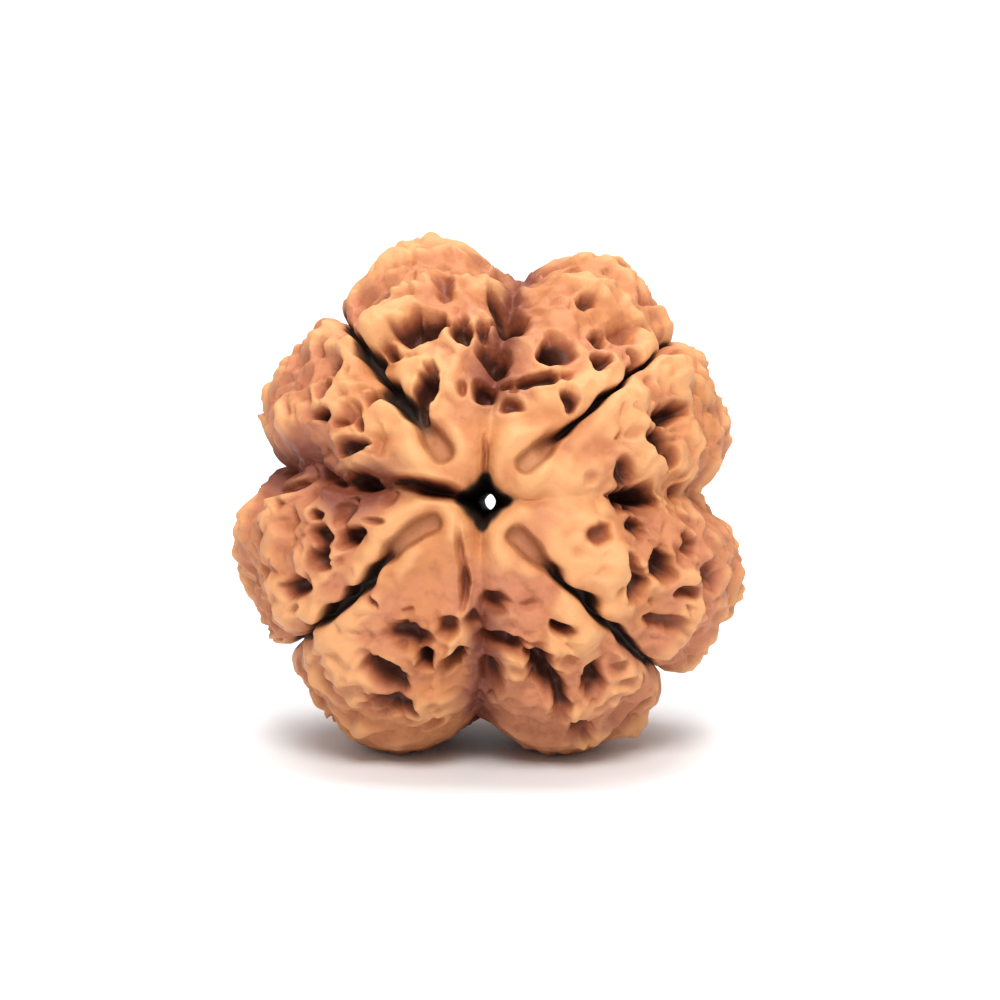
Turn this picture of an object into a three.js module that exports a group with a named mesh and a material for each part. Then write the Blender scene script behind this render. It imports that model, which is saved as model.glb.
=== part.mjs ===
// A rudraksha seed: the hard stone of the fruit, grown as one piece. Four seams cross its face
// like an X, four valleys run between them, and its rounded lobes are netted with ridges and pits.
// A natural canal runs through it from face to face. It stands on two lobes, leaning back a little.
// Millimetres, +Z up. The face looks along -Y, and the origin is on the table under the middle.
import * as THREE from "three";
import { mergeVertices } from "three/addons/utils/BufferGeometryUtils.js";

// Driving dimensions.
const HALF_LENGTH = 9.4; // from the middle to each face, along the canal
const CANAL_RADIUS = 0.36;
const SQUARENESS = 2.2; // 2 is an ellipse from face to face, and more is squarer
const LEAN = 10; // degrees that the face is tipped up
const SEEN_FROM = 2; // degrees to the right of the face, where its pits are seen from
const AXIS_HEIGHT = 10.55; // the middle of the canal, over the table
const AXIS_X = -0.07; // the canal is a little left of the middle of the width
const AXIS_Y = -0.17; // and its middle a little before the middle of the depth

// Mesh density: steps round the canal, and steps from the canal's middle over a face to the rim.
const STEPS_PER_HALF_LOBE = 12;
const HALF_SECTION_STEPS = 30;
const CANAL_STEPS = 4;

// The four seams, counter-clockwise from the upper right as the face is seen. rim: its turn at the
// rim, in degrees; curl: how far it turns near the canal; start and end: where its trough opens and
// closes, from the canal; radius: how far out its lips stand at the rim; crack and trough: the half
// widths of its outer and its inner part.
const SEAMS = [
  { rim: 41.3, curl: 0, start: 2.0, end: 4.6, radius: 10.95, crack: 0.15, trough: 0.44 },
  { rim: 129, curl: 0, start: 2.2, end: 4.4, radius: 10.73, crack: 0.25, trough: 0.5 },
  { rim: 216.8, curl: -18, start: 1.9, end: 5.0, radius: 10.93, crack: 0.2, trough: 0.42 },
  { rim: 315.9, curl: 0, start: 1.6, end: 4.4, radius: 11.0, crack: 0.17, trough: 0.44 },
];
const CURL_REACH = 3.6;
const LEAST_CRACK = 0.2; // no seam is narrower than this half width, so that the mesh can hold it
const CRACK_DEEP = 1.25;
const TROUGH_DEEP = 0.7;
const RIM_DEEP = 0.45;
const RIM_DEEP_FROM = [8.4, 10.4]; // from the canal's middle, where the crack shallows to the rim
const NOTCH_DEEP = 0.85; // the wider notch where a seam crosses the rim
const NOTCH_HALF = 0.5;
const LIP_AT_RIM = 0.3; // share of a lip's height that is left at the rim
const LIP_HEIGHT = 0.27;
const LIP_WIDTH = 0.5;

// The four valleys, counter-clockwise from the right. turn: degrees; radius: its floor at the rim;
// neck: how deep it still is beside the canal.
const VALLEYS = [
  { turn: 3, radius: 8.95, neck: 0.15 },
  { turn: 84, radius: 9.5, neck: 0.5 },
  { turn: 170.5, radius: 8.85, neck: 0.9 },
  { turn: 268.5, radius: 9.3, neck: 0.45 },
];
const VALLEY_SPREAD = 0.2; // share of the way to the seam
const VALLEY_POWER = 1.6;

// How far each half lobe swells past the line from its seam to its valley, from the right valley on.
const SWELLS = [-0.3, 0.65, 0.65, -0.15, 0.15, 0.8, 0.45, 0.35];

// The mouth of the canal: a four-pointed star, with its points in the valleys.
const MOUTH_RADIUS = 0.74;
const MOUTH_POINT = 0.42;
const MOUTH_POINT_SPREAD = 17; // degrees
const MOUTH_SAG = 0.8;
const MOUTH_SAG_SPREAD = 0.35;

// Pits on the face, as it is seen from the front. Each row is: place to the right of the canal,
// place above it, half length, half width, lean of the length in degrees, depth.
const FACE_PITS = [
  // Top lobe, left of the top valley.
  [-1.76, 9.37, 0.5, 0.42, 100, 0.55],
  [-4.41, 8.46, 0.5, 0.25, 20, 0.6],
  [-3.12, 9.29, 0.45, 0.15, 70, 0.25],
  [-2.59, 7.33, 0.85, 0.5, 20, 1.2],
  [-0.93, 7.25, 0.5, 0.38, 80, 0.9],
  [-3.88, 6.27, 0.4, 0.22, -45, 0.6],
  [-2.29, 4.6, 0.75, 0.32, 80, 1.3],
  [-0.85, 4.68, 0.28, 0.16, 90, 0.4],
  // Left lobe, above the left valley.
  [-6.23, 5.66, 0.42, 0.28, 45, 0.7],
  [-6.68, 4.68, 0.45, 0.25, 80, 0.6],
  [-6.9, 6.4, 0.35, 0.18, 60, 0.3],
  [-6.9, 3.69, 0.5, 0.25, 0, 0.8],
  [-4.67, 4.22, 0.28, 0.26, 0, 0.6],
  [-5.6, 3.6, 0.5, 0.35, 30, 0.45],
  [-6.08, 3.31, 0.2, 0.15, 0, 0.4],
  [-5.13, 3.31, 0.32, 0.2, 90, 0.5],
  [-5.7, 2.33, 0.65, 0.27, 10, 0.9],
  [-7.74, 1.5, 0.5, 0.22, 90, 0.4],
  [-8.27, 3.92, 0.4, 0.15, 85, 0.2],
  [-4.33, 2.48, 0.6, 0.2, 95, 0.25],
  // Left lobe, below the left valley.
  [-8.87, 0.67, 0.6, 0.25, 32, 0.6],
  [-7.58, 0.97, 0.3, 0.3, 0, 0.3],
  [-7.02, -0.59, 0.27, 0.24, 0, 0.6],
  [-5.77, -0.44, 0.55, 0.33, 65, 0.6],
  [-6.83, -1.5, 0.4, 0.38, 0, 0.8],
  [-6.75, -2.41, 0.5, 0.36, 90, 0.9],
  [-5.58, -1.5, 0.5, 0.36, 30, 0.85],
  [-9.59, -1.72, 0.6, 0.18, 95, 0.5],
  [-7.8, -3.6, 0.5, 0.35, 15, 0.75],
  [-7.2, -3.26, 0.3, 0.15, 120, 0.35],
  [-7.75, -4.45, 0.3, 0.15, 70, 0.35],
  [-4.49, -0.8, 0.4, 0.13, 0, 0.3],
  [-3.99, 0.09, 0.3, 0.25, 0, 0.35],
  // Bottom lobe, left of the bottom valley.
  [-3.12, -4.6, 0.22, 0.14, 0, 0.25],
  [-3.14, -5.68, 0.78, 0.45, -12, 0.85],
  [-2.37, -6.8, 0.42, 0.26, 90, 1.2],
  [-1.28, -7.02, 0.58, 0.3, 50, 0.85],
  [-4.08, -7.28, 0.9, 0.42, -38, 0.95],
  [-3.8, -8.7, 0.88, 0.42, -12, 0.8],
  [-4.64, -4.15, 0.38, 0.13, -50, 0.4],
  [-6.53, -7.63, 0.4, 0.12, -50, 0.25],
  [-1.46, -5.36, 0.45, 0.35, 90, 0.6],
  // Bottom lobe, right of the bottom valley.
  [0.6, -4.26, 0.45, 0.35, 0, 0.65],
  [2.06, -4.26, 0.3, 0.17, 0, 0.3],
  [3.36, -5.19, 0.38, 0.26, 0, 0.8],
  [2.06, -5.55, 0.25, 0.2, 0, 0.2],
  [0.95, -6.02, 0.85, 0.3, -10, 0.8],
  [2.6, -7.15, 0.85, 0.42, -66, 1.3],
  [3.38, -8.25, 0.68, 0.3, -75, 0.85],
  [4.76, -7.5, 0.6, 0.38, 85, 0.9],
  [4.31, -9.8, 0.42, 0.3, 30, 0.65],
  [4.19, -9.24, 0.3, 0.12, -20, 0.25],
  [6.19, -8.31, 0.3, 0.12, 20, 0.3],
  [6.76, -7.75, 0.4, 0.13, 60, 0.35],
  [3.28, -9.04, 0.35, 0.35, 0, 0.35],
  // Right lobe, below the right valley.
  [6.76, -1.1, 0.48, 0.3, -30, 0.75],
  [9.03, -1.75, 0.45, 0.3, -50, 0.6],
  [7.66, -2.72, 0.55, 0.42, 80, 1.0],
  [8.63, -3.77, 0.45, 0.22, 15, 0.6],
  [9.84, -3.12, 0.6, 0.35, 80, 0.6],
  [7.98, -5.07, 0.6, 0.35, 10, 0.6],
  [6.5, -3.45, 0.6, 0.32, 80, 0.8],
  [6.36, -2.64, 0.55, 0.28, -60, 0.55],
  [4.85, -1.3, 0.5, 0.33, 20, 0.55],
  [9.03, -5.64, 0.3, 0.1, 30, 0.25],
  // Right lobe, above the right valley.
  [7.82, 3.77, 0.75, 0.35, 25, 1.0],
  [7.58, 2.41, 0.8, 0.4, -40, 1.1],
  [6.3, 2.86, 0.35, 0.25, 0, 0.3],
  [4.56, 0.97, 0.3, 0.3, 0, 0.15],
  // Top lobe, right of the top valley.
  [3.1, 6.36, 0.62, 0.5, -30, 0.75],
  [2.82, 6.22, 0.36, 0.4, 0, 1.35],
  [4.41, 8.61, 0.38, 0.26, 0, 0.6],
  [4.91, 6.95, 0.3, 0.3, 0, 0.8],
  [4.91, 5.81, 0.32, 0.32, 0, 0.8],
  [5.85, 7.33, 0.5, 0.45, 0, 0.45],
  [4.87, 9.44, 0.35, 0.25, 0, 0.25],
  [4.03, 10.0, 0.38, 0.12, 0, 0.35],
  [6.31, 6.11, 0.4, 0.2, -60, 0.5],
  [6.61, 8.31, 0.35, 0.12, -60, 0.3],
  [1.16, 4.0, 0.42, 0.32, 0, 0.6],
  [2.25, 5.1, 1.15, 0.2, 5, 0.75],
  [1.35, 4.75, 0.22, 0.16, 30, 0.45],
  [3.58, 4.22, 0.45, 0.25, -70, 0.8],
  // The four valleys: creases that run out from the canal's star, and holes.
  [-2.4, 0.58, 1.25, 0.3, -12, 0.9],
  [0.1, 1.9, 0.6, 0.12, 90, 0.25],
  [-0.88, -2.2, 1.0, 0.14, 95, 0.35],
  [-0.75, -3.6, 0.9, 0.17, 88, 0.55],
  [2.4, 0.5, 0.8, 0.45, 10, 0.15],
  [0.0, 7.48, 0.5, 0.22, 90, 0.7],
  [0.04, 6.65, 0.4, 0.3, 90, 0.7],
  [0.05, 4.68, 0.38, 0.36, 0, 1.0],
  [0.42, 9.07, 0.5, 0.2, 110, 0.7],
  [1.23, 8.08, 0.6, 0.5, -40, 1.2],
  [0.7, 8.92, 0.5, 0.25, -50, 0.8],
  [0.63, 6.19, 0.45, 0.42, 90, 0.9],
  [-5.5, 0.9, 0.7, 0.38, -10, 1.2],
  [-6.9, 0.85, 0.5, 0.26, -10, 0.6],
  [-7.75, 0.39, 0.45, 0.4, 0, 0.4],
  [-0.32, -5.13, 0.35, 0.3, 0, 0.6],
  [0.36, -5.96, 0.35, 0.3, 0, 0.6],
  [0.45, -7.85, 0.75, 0.38, 90, 0.7],
  [6.84, 0.2, 0.9, 0.46, 0, 1.4],
  [6.15, 1.2, 0.65, 0.38, 100, 0.7],
  [9.25, 0.59, 0.4, 0.25, 70, 0.5],
];

// Knobs on the face, in the same rows, with their height last.
const FACE_KNOBS = [
  [-4.4, 7.0, 0.5, 0.5, 0, 0.25],
  [-2.84, 5.97, 0.5, 0.5, 0, 0.25],
  [-5.39, 6.27, 0.5, 0.5, 0, 0.2],
  [-6.0, 4.6, 0.8, 0.6, 30, 0.2],
  [-1.7, 7.33, 0.5, 0.25, 90, 0.2],
  [5.17, 5.04, 0.9, 0.6, 30, 0.15],
  [8.05, 5.43, 0.6, 0.5, 0, 0.3],
  [6.9, 4.37, 0.6, 0.4, 20, 0.3],
  [7.2, 1.74, 0.8, 0.6, 0, 0.3],
  [5.06, -2.56, 0.9, 0.7, -45, 0.25],
  [-8.35, -4.6, 0.4, 0.4, 0, 0.2],
  [-5.09, -4.75, 0.8, 0.6, 40, 0.25],
  [-1.3, -6.27, 0.35, 0.2, 60, 0.25],
  [1.33, -6.86, 0.8, 0.35, -60, 0.3],
];

// Pits on the sides and the back, set out by a spiral rule with seeded draws.
const SPIRAL_PITS = 620;
const SPIRAL_SEED = 4127;
const GOLDEN_TURN = 137.508;
const SPIRAL_JITTER = 0.6; // of the spacing between pits
const SHALLOWEST = 0.45; // share of the draws, the shallow pits, that the mesh leaves out
const FACE_EDGE = 76; // degrees from the front pole where the face's own pits end
const FACE_FADE = [78, 90]; // degrees from the front pole over which the face's pits fade out
const BACK_BARE = 20; // degrees round the back pole with no pits
const SEAM_BARE = 0.75; // bare lip beside a seam
const SPIRAL_HALF_WIDTH = [0.34, 0.56];
const SPIRAL_STRETCH = 1.5; // the longest pit's length to its width
const SPIRAL_DEEP = [0.35, 0.9];
const PIT_THROUGH = 1.5; // how far through the stone a pit reaches, at most
const PIT_REACH = 3; // how far off its middle a pit is still felt

// Waves that keep every surface from being quite smooth: wavelength and height.
const SWELL_WAVES = { count: 12, length: 3.4, height: 0.2, seed: 77 };
const RIPPLE_WAVES = { count: 14, length: 1.7, height: 0.08, seed: 901 };
const SWELLS_FROM = [1.2, 3]; // distance from the canal's middle over which the swells grow
const RIPPLES_FROM = [2.5, 5.5];
const LIP_CALM = [0.4, 1.5]; // beside a seam the ripples are calmer
const LIP_RIPPLES = 0.35;

// The two lobes that it stands on are calm, and cut flat by the table.
const CALM_BELOW = 0.4;
const ROUGH_ABOVE = 1.4;

// No pit is narrower than this half size, so that the mesh can hold it, and all are a little wider
// and deeper than they look from the front.
const LEAST_HALF = 0.52;
const FACE_WIDENING = 1.12;
const FACE_DEEPENING = 1.4;

const DEGREE = Math.PI / 180;
const SEED_BROWN = 0xc98a63;

const mix = (a, b, share) => a + (b - a) * share;
const smooth = (a, b, value) => THREE.MathUtils.smoothstep(value, a, b);
const between = ([low, high], share) => mix(low, high, share);

/** A seeded run of numbers from 0 to 1. */
function draws(seed) {
  let state = seed;
  return () => (state = (state * 16807) % 2147483647) / 2147483647;
}

/** Turn of a seam in degrees, at a given angle from the pole of its face. */
function seamTurn(seam, polar) {
  const out = Math.max(seam.start, 11 * Math.sin(polar));
  return seam.rim + seam.curl * Math.exp(-((out / CURL_REACH) ** 2));
}

/** Where a turn lies: its seam, its valley, and the share of the way from seam to valley. */
function place(turn, polar) {
  const at = THREE.MathUtils.euclideanModulo(turn, 360);
  for (let half = 0; half < 8; half++) {
    const seam = SEAMS[half >> 1];
    const valley = VALLEYS[((half + 1) >> 1) % 4];
    const seamAt = seamTurn(seam, polar);
    let valleyAt = valley.turn;
    if (half === 7) valleyAt += 360;
    const low = Math.min(seamAt, valleyAt);
    const high = Math.max(seamAt, valleyAt);
    for (const t of [at, at + 360])
      if (t >= low && t <= high)
        return { half, seam, valley, offset: t - seamAt, share: (t - seamAt) / (valleyAt - seamAt) };
  }
  throw new Error("no half lobe holds turn " + turn);
}

/** The turn of a step round the canal: steps crowd into each seam and follow it. */
function stepTurn(step, polar) {
  const half = Math.floor(step / STEPS_PER_HALF_LOBE) % 8;
  const part = (step % STEPS_PER_HALF_LOBE) / STEPS_PER_HALF_LOBE;
  const fromSeam = half % 2 ? part : 1 - part;
  const seam = SEAMS[half >> 1];
  const seamAt = seamTurn(seam, polar);
  const valleyAt = VALLEYS[((half + 1) >> 1) % 4].turn + (half === 7 ? 360 : 0);
  const lipShare = 2 / STEPS_PER_HALF_LOBE;
  const out = 1 + 10 * Math.sin(polar);
  const span = Math.abs(valleyAt - seamAt) * DEGREE;
  const lipAt = Math.min(0.3, (1.35 * seamHalfWidth(seam, out)) / out / span);
  const share =
    fromSeam < lipShare
      ? (fromSeam / lipShare) * lipAt
      : mix(lipAt, 1, (fromSeam - lipShare) / (1 - lipShare));
  return mix(seamAt, valleyAt, share);
}

/** Half the width of a seam, which goes from a wide trough to a narrow crack. */
function seamHalfWidth(seam, out) {
  const crack = Math.max(LEAST_CRACK, seam.crack * mix(1, 0.7, smooth(6, 10, out)));
  return mix(seam.trough, crack, smooth(seam.end - 1.6, seam.end + 0.2, out));
}

/** Radius of the mouth of the canal at a turn, in degrees. */
function mouthRadius(turn) {
  let radius = MOUTH_RADIUS;
  for (const valley of VALLEYS) {
    const away = THREE.MathUtils.euclideanModulo(turn - valley.turn + 180, 360) - 180;
    radius += MOUTH_POINT * Math.exp(-((away / MOUTH_POINT_SPREAD) ** 2));
  }
  return radius;
}

/** The smooth lobed body with no relief: a point, and the way out of its surface. */
function body(turn, polar, isFront) {
  const { half, seam, valley, offset, share } = place(turn, polar);
  const neighbour = SEAMS[(half % 2 ? (half >> 1) + 1 : (half >> 1) + 3) % 4];
  const valleyRim = (seam.radius + neighbour.radius) / 2;
  const rim = mix(seam.radius, valleyRim, share) + SWELLS[half] * Math.sin(Math.PI * share) ** 2;
  const mouth = mouthRadius(turn);
  const out = mouth + (rim - mouth) * Math.sin(polar) ** (2 / SQUARENESS);
  const sag = MOUTH_SAG * Math.exp(-(out - mouth) / MOUTH_SAG_SPREAD);
  const forward = HALF_LENGTH * Math.max(0, Math.cos(polar)) ** (2 / SQUARENESS) - sag;
  const sign = isFront ? -1 : 1;
  const cos = Math.cos(turn * DEGREE);
  const sin = Math.sin(turn * DEGREE);
  const point = new THREE.Vector3(out * cos, sign * forward, out * sin);
  const slopeOut = (out / rim) ** (SQUARENESS - 1) / rim;
  const slopeForward = (Math.max(0, forward) / HALF_LENGTH) ** (SQUARENESS - 1) / HALF_LENGTH;
  const normal = new THREE.Vector3(slopeOut * cos, sign * slopeForward, slopeOut * sin).normalize();
  return { point, normal, out, valleyRim, seam, valley, offset, share };
}

/** Where a point of the upright seed comes to lie once the seed leans back on the table. */
function onTable(point) {
  const leaned = point.clone().applyEuler(new THREE.Euler(-LEAN * DEGREE, 0, 0));
  return leaned.add(new THREE.Vector3(AXIS_X, AXIS_Y, AXIS_HEIGHT));
}

/** Waves in fixed seeded directions, summed. */
function makeWaves({ count, length, height, seed }) {
  const draw = draws(seed);
  const waves = [];
  for (let k = 0; k < count; k++) {
    const up = 2 * draw() - 1;
    const round = 2 * Math.PI * draw();
    const flat = Math.sqrt(1 - up * up);
    const pitch = (2 * Math.PI) / (length * (0.75 + 0.5 * draw()));
    const direction = new THREE.Vector3(flat * Math.cos(round), up, flat * Math.sin(round));
    waves.push({ direction: direction.multiplyScalar(pitch), phase: 2 * Math.PI * draw() });
  }
  const each = height / Math.sqrt(count / 2);
  return (p) => waves.reduce((sum, w) => sum + each * Math.sin(p.dot(w.direction) + w.phase), 0);
}
const swellWaves = makeWaves(SWELL_WAVES);
const rippleWaves = makeWaves(RIPPLE_WAVES);

/** How full a pit or knob is at a distance counted in its own half sizes. */
const fullness = (q) => Math.exp(-(q ** 2));

/** Height of a pit or knob at a place on the face, seen from a little to the right. */
function markAt([right, up, halfLong, halfWide, lean, height], point) {
  const seen = SEEN_FROM * DEGREE;
  const dx = point.x * Math.cos(seen) + (point.y + HALF_LENGTH) * Math.sin(seen) - right;
  const dz = point.z - up;
  const cos = Math.cos(lean * DEGREE);
  const sin = Math.sin(lean * DEGREE);
  const long = (dx * cos + dz * sin) / Math.max(LEAST_HALF, FACE_WIDENING * halfLong);
  const wide = (dz * cos - dx * sin) / Math.max(LEAST_HALF, FACE_WIDENING * halfWide);
  const narrowness = Math.min(1, Math.sqrt(halfWide / LEAST_HALF));
  return FACE_DEEPENING * height * narrowness * fullness(Math.hypot(long, wide));
}

/** The pits of the sides and the back. */
function makeSpiralPits() {
  const draw = draws(SPIRAL_SEED);
  const spacing = Math.sqrt((4 * Math.PI) / SPIRAL_PITS) / DEGREE;
  const pits = [];
  for (let k = 0; k < SPIRAL_PITS; k++) {
    const [a, b, c, d, e, f] = Array.from({ length: 6 }, draw);
    const height = 1 - (2 * (k + 0.5)) / SPIRAL_PITS;
    const fromFront = Math.acos(height) / DEGREE + (a - 0.5) * SPIRAL_JITTER * spacing;
    const turn = k * GOLDEN_TURN + ((b - 0.5) * SPIRAL_JITTER * spacing) / Math.sin(fromFront * DEGREE);
    if (f < SHALLOWEST || fromFront < FACE_EDGE || fromFront > 180 - BACK_BARE) continue;
    const isFront = fromFront < 90;
    const polar = (isFront ? fromFront : 180 - fromFront) * DEGREE;
    const at = body(turn, polar, isFront);
    const fromSeam = Math.abs(at.offset) * DEGREE * at.out;
    if (fromSeam < SEAM_BARE) continue;
    const around = new THREE.Vector3(-Math.sin(turn * DEGREE), 0, Math.cos(turn * DEGREE));
    const along = new THREE.Vector3().crossVectors(at.normal, around).normalize();
    const lean = c * Math.PI;
    const longWay = around.clone().multiplyScalar(Math.cos(lean)).addScaledVector(along, Math.sin(lean));
    const wideWay = new THREE.Vector3().crossVectors(at.normal, longWay);
    const halfWide = Math.max(LEAST_HALF, between(SPIRAL_HALF_WIDTH, d));
    pits.push({
      centre: at.point,
      normal: at.normal,
      longWay,
      wideWay,
      halfWide,
      halfLong: halfWide * mix(1, SPIRAL_STRETCH, e),
      deep: between(SPIRAL_DEEP, f),
    });
  }
  return pits;
}
const SPIRAL = makeSpiralPits();

/** Joins overlapping pits softly: the deepest counts most. */
function joined(depths) {
  return Math.cbrt(depths.reduce((sum, d) => sum + d ** 3, 0));
}

/** Depth of the seams, less their raised lips. */
function seamDepth({ seam, out, offset }) {
  const fromSeam = Math.abs(offset) * DEGREE * out;
  const halfWidth = seamHalfWidth(seam, out);
  const opened = smooth(seam.start - 0.3, seam.start + 0.6, out);
  const rim = smooth(...RIM_DEEP_FROM, out);
  const inner = mix(TROUGH_DEEP, CRACK_DEEP, smooth(seam.end - 1, seam.end + 0.6, out));
  const cut = opened * mix(inner, RIM_DEEP, rim) * Math.exp(-((fromSeam / halfWidth) ** 4));
  const notch = rim * NOTCH_DEEP * Math.exp(-((fromSeam / NOTCH_HALF) ** 1.5));
  const beside = (fromSeam - halfWidth - LIP_WIDTH) / LIP_WIDTH;
  const lip = opened * LIP_HEIGHT * mix(1, LIP_AT_RIM, rim) * Math.exp(-(beside ** 2));
  return cut + notch - lip;
}

/** Depth of the valleys, which fade towards the canal. */
function valleyDepth({ valley, valleyRim, share }, polar) {
  const deep = mix(valley.neck, valleyRim - valley.radius, Math.sin(polar));
  return deep * Math.exp(-(((1 - share) / VALLEY_SPREAD) ** VALLEY_POWER));
}

/** Depth of the spiral's pits at a point. */
function spiralDepths(point) {
  const gap = new THREE.Vector3();
  return SPIRAL.map((pit) => {
    gap.subVectors(point, pit.centre);
    if (gap.length() > PIT_REACH) return 0;
    const long = gap.dot(pit.longWay) / pit.halfLong;
    const wide = gap.dot(pit.wideWay) / pit.halfWide;
    return pit.deep * fullness(Math.hypot(long, wide, gap.dot(pit.normal) / PIT_THROUGH));
  });
}

/** Height of the relief over the smooth body, along its normal. */
function relief(at, polar, isFront) {
  const { point, out, offset } = at;
  const shown = isFront ? 1 - smooth(...FACE_FADE, polar / DEGREE) : 0;
  const pits = spiralDepths(point);
  let knobs = 0;
  if (shown > 0) {
    for (const pit of FACE_PITS) pits.push(shown * markAt(pit, point));
    for (const knob of FACE_KNOBS) knobs += shown * markAt(knob, point);
  }
  const fromSeam = Math.abs(offset) * DEGREE * out;
  const rough = smooth(...RIPPLES_FROM, out) * mix(LIP_RIPPLES, 1, smooth(...LIP_CALM, fromSeam));
  const waves = smooth(...SWELLS_FROM, out) * swellWaves(point) + rough * rippleWaves(point);
  const fromFeet = smooth(CALM_BELOW, ROUGH_ABOVE, onTable(point).z);
  return fromFeet * (knobs + waves - joined(pits)) - seamDepth(at) - valleyDepth(at, polar);
}

/** A point of the skin: step round the canal, and share of the closed section from the rim. */
function skinPoint(step, section) {
  const isFront = section < 0.5;
  const inward = 2 * Math.min(section, 1 - section); // 0 at the rim, 1 in the middle of the canal
  const outside = 1 - CANAL_STEPS / HALF_SECTION_STEPS;
  const polar = Math.max(0, 1 - inward / outside) * (Math.PI / 2);
  const turn = stepTurn(step, polar);
  const at = body(turn, polar, isFront);
  const skin = at.point.clone().addScaledVector(at.normal, relief(at, polar, isFront));
  if (inward <= outside) return skin;
  const into = (inward - outside) / (1 - outside);
  const radius = mix(Math.hypot(skin.x, skin.z), CANAL_RADIUS, smooth(0, 0.55, into));
  return new THREE.Vector3(
    radius * Math.cos(turn * DEGREE),
    mix(skin.y, 0, into),
    radius * Math.sin(turn * DEGREE),
  );
}

/** Distance between two vertices. */
function distanceApart(positions, a, b) {
  const from = new THREE.Vector3().fromBufferAttribute(positions, a);
  return from.distanceTo(new THREE.Vector3().fromBufferAttribute(positions, b));
}

/**
 * The seed starts as a ring, whose every vertex is then carried to its place on the skin. Each
 * four-sided cell is split along its shorter diagonal, which follows the ridges.
 */
function makeSeed() {
  const aroundSteps = 8 * STEPS_PER_HALF_LOBE;
  const sectionSteps = 2 * HALF_SECTION_STEPS;
  const ring = new THREE.TorusGeometry(6, 4, sectionSteps, aroundSteps);
  const positions = ring.getAttribute("position");
  const shares = ring.getAttribute("uv");
  for (let k = 0; k < positions.count; k++) {
    const step = Math.round(shares.getX(k) * aroundSteps) % aroundSteps;
    const section = (Math.round(shares.getY(k) * sectionSteps) % sectionSteps) / sectionSteps;
    const p = onTable(skinPoint(step, section));
    positions.setXYZ(k, p.x, p.y, Math.max(0, p.z));
  }
  const corners = ring.getIndex();
  for (let k = 0; k < corners.count; k += 6) {
    const [a, b, c, d] = [k, k + 1, k + 4, k + 2].map((corner) => corners.getX(corner));
    if (distanceApart(positions, a, c) > distanceApart(positions, b, d)) continue;
    corners.setX(k + 2, c);
    corners.setX(k + 3, a);
  }
  ring.deleteAttribute("normal");
  ring.deleteAttribute("uv");
  const skin = mergeVertices(ring, 1e-3);
  skin.computeVertexNormals();
  return skin;
}

const seed = new THREE.Mesh(
  makeSeed(),
  new THREE.MeshStandardMaterial({ color: SEED_BROWN, roughness: 0.62, metalness: 0 }),
);
seed.name = "rudraksha_seed";

const rudraksha = new THREE.Group();
rudraksha.add(seed);
export default rudraksha;
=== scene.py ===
"""Finishes the rudraksha seed: one hard stone, with its net of ridges, pits, seams and valleys.

The stone's form is worked out in millimetres, upright, with its face along -Y, and is then leaned
back and set on the table in metres.
"""

import logging
import math
from collections.abc import Iterator
from dataclasses import dataclass, field
from enum import Enum

import bmesh
import bpy
import numpy as np
from mathutils import Matrix, Vector


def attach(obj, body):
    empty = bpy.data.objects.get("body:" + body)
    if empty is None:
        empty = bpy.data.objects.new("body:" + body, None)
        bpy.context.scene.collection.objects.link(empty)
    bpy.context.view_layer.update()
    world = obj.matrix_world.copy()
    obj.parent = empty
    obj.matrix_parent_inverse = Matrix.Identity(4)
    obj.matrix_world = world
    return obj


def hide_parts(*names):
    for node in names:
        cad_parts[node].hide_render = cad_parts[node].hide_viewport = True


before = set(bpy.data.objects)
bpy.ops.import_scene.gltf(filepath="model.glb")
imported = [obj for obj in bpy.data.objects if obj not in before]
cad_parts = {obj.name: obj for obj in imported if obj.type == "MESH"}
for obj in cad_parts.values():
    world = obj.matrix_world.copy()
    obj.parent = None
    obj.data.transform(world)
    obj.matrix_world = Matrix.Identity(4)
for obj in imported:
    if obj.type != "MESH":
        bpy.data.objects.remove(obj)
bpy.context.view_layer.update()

LOG = logging.getLogger("seed")
Array = np.ndarray

Socket = bpy.types.NodeSocket
Colour = tuple[float, float, float]
Place = tuple[float, float, float]
Span = tuple[float, float]

MM = 0.001
LOBES = 4
HALF_LOBES = 8
GOLDEN_TURN = 137.508
DRAW_FACTOR = 16807
DRAW_RANGE = 2147483647


@dataclass(frozen=True)
class Seam:
    """One of the four seams that split the lobes, in degrees and millimetres.

    rim is its turn at the rim, curl how far it turns near the canal, start and end where its
    trough opens and closes, counted from the canal, radius how far out its lips stand, and crack
    and trough the half widths of its outer and its inner part.
    """

    rim: float
    curl: float
    start: float
    end: float
    radius: float
    crack: float
    trough: float


@dataclass(frozen=True)
class Valley:
    """One of the four valleys between lobes, in degrees and millimetres.

    turn is its turn at the rim, radius how far out its floor stands there, neck its depth by the
    canal, and crease the depth of the fine fold that runs along its floor.
    """

    turn: float
    radius: float
    neck: float
    crease: float


@dataclass(frozen=True)
class Mark:
    """A pit or a knob on the face: place right and up of the canal, half sizes, lean, height."""

    right: float
    up: float
    long: float
    wide: float
    lean: float
    deep: float


@dataclass(frozen=True)
class WaveSet:
    """Waves summed over the surface: how many, their length and height, and their seed."""

    count: int
    length: float
    height: float
    seed: int


@dataclass(frozen=True)
class PitRule:
    """Pits strewn by a spiral rule with seeded draws, in millimetres and degrees.

    count is how many turns of the rule there are over the whole seed, first how far from the
    face's middle they start, bare and margin how far they keep from a seam and from the face's
    own pits, wide and deep their half widths and depths, and filled the share of that depth which
    those on the face have.
    """

    count: int
    seed: int
    first: float
    bare: float
    margin: float
    wide: Span
    deep: Span
    filled: float


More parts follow.
